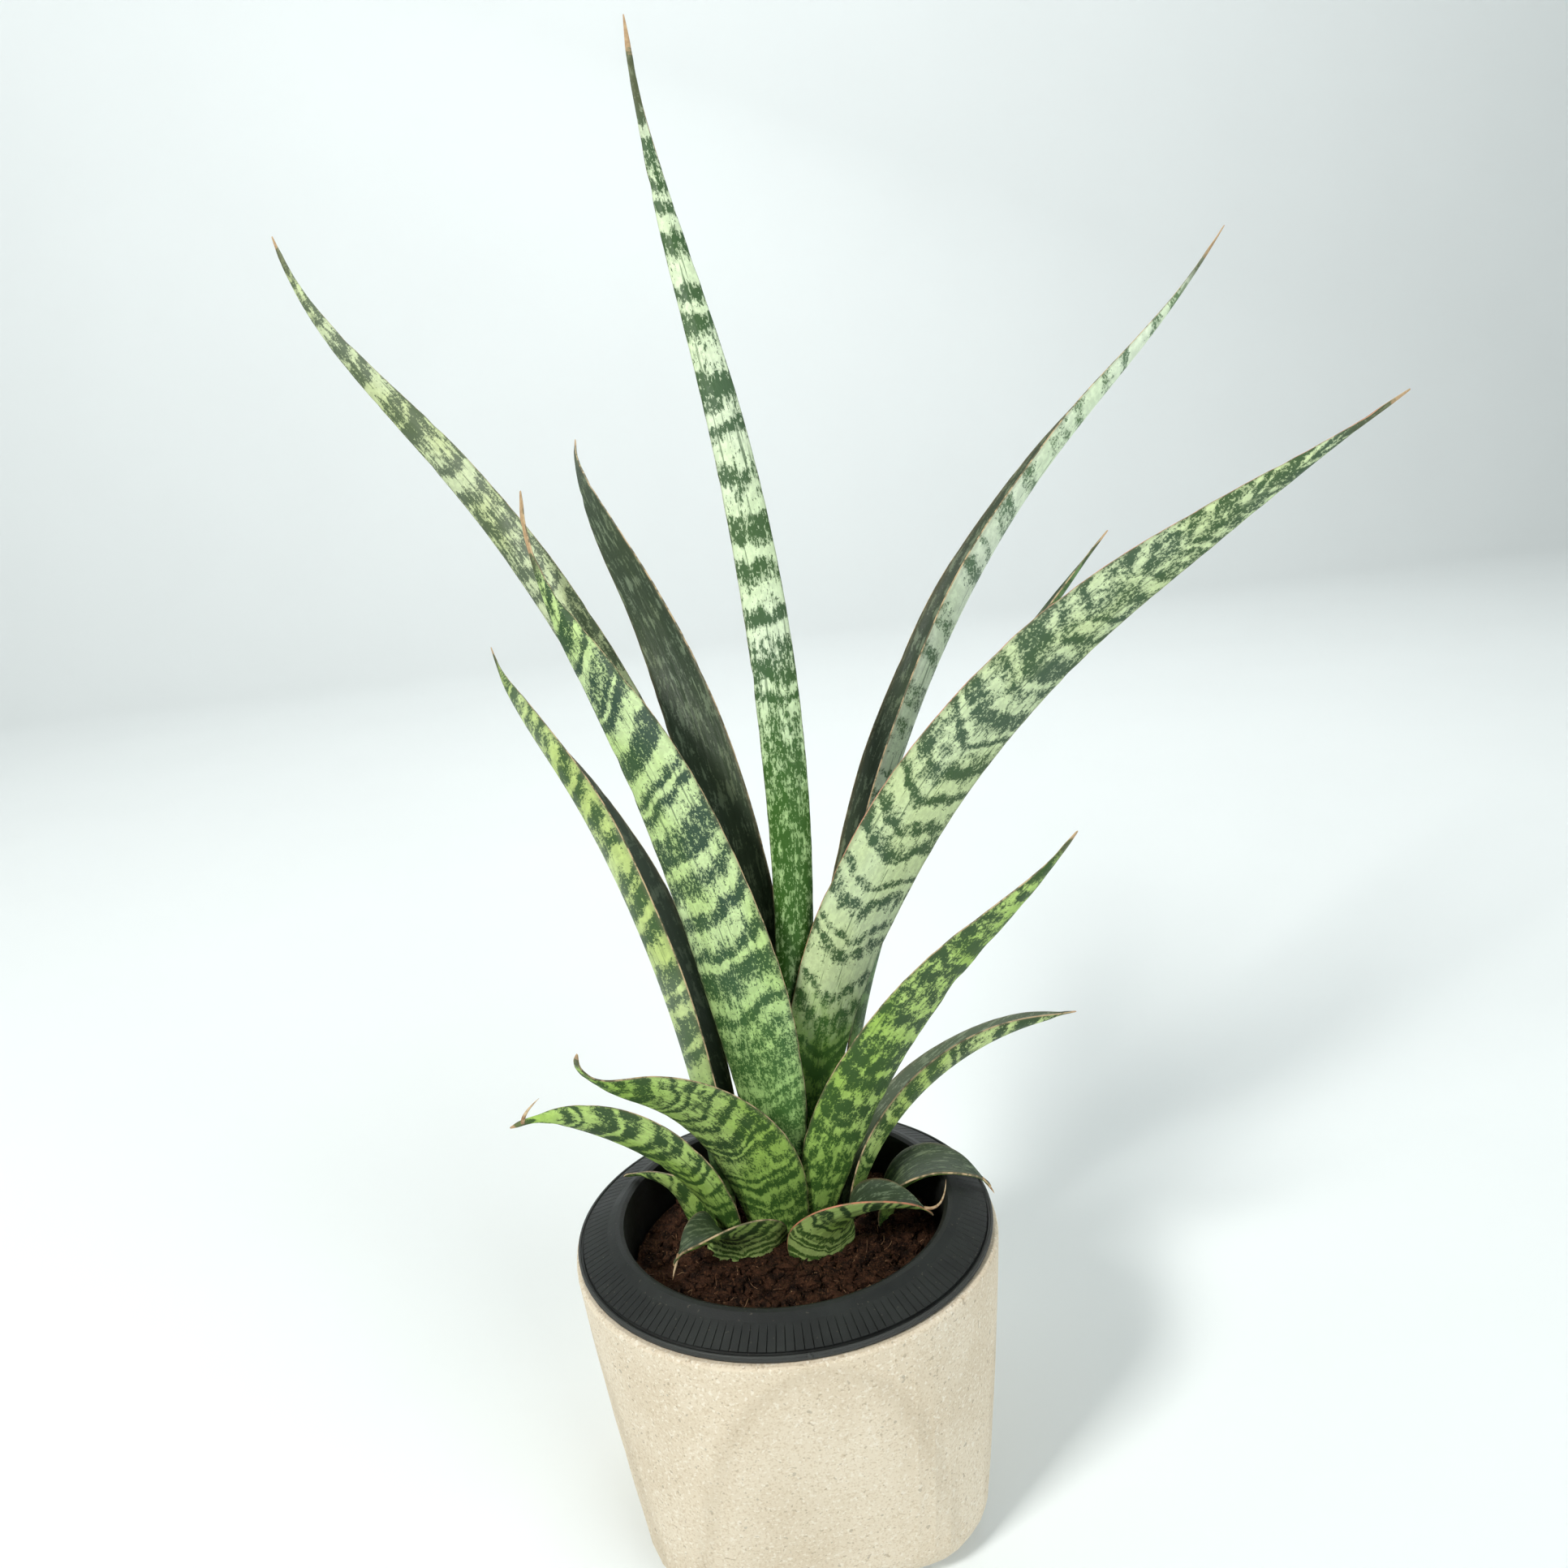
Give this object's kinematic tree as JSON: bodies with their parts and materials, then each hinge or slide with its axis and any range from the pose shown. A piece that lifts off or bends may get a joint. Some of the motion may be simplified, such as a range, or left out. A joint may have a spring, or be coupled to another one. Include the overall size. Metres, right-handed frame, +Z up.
{
  "type": "potted snake plant",
  "caption": "Snake plant with upright and arching banded leaves, rooted in soil in a black liner with a sloping collar, set in a cream planter that goes from round rim to square base",
  "frame": {"origin": "centre of the planter's flat underside", "axes": "+Z up; the planter's flat panels face +X, -X, +Y and -Y; -Y is the front, toward the viewer, with the two small arching leaves"},
  "size_m": [0.3308, 0.2533, 0.4611],
  "materials": {
    "cream_cast": "matte cream cast body with fine tan and grey speckle",
    "black_plastic": "satin near-black moulded plastic with fine radial grooves on the collar",
    "coir_soil": "loose dark red-brown fibrous potting mix",
    "leaf_green": "waxy succulent leaf, dark green with pale cross bands outside and dark inside"
  },
  "bodies": {
    "root": {"outer_pot": "cream_cast", "inner_pot": "black_plastic", "soil": "coir_soil", "leaf_small_front_left": "leaf_green", "leaf_small_front_right": "leaf_green", "leaf_rim_right": "leaf_green", "leaf_drooping_left": "leaf_green", "leaf_small_left": "leaf_green", "leaf_low_left": "leaf_green", "leaf_short_right": "leaf_green", "leaf_low_right": "leaf_green", "leaf_broad_front_left": "leaf_green", "leaf_broad_front_right": "leaf_green", "leaf_left_mid": "leaf_green", "leaf_tall_centre": "leaf_green", "leaf_dark_back": "leaf_green", "leaf_hidden_right": "leaf_green", "leaf_tall_right": "leaf_green", "leaf_long_left": "leaf_green"}
  },
  "joints": []
}
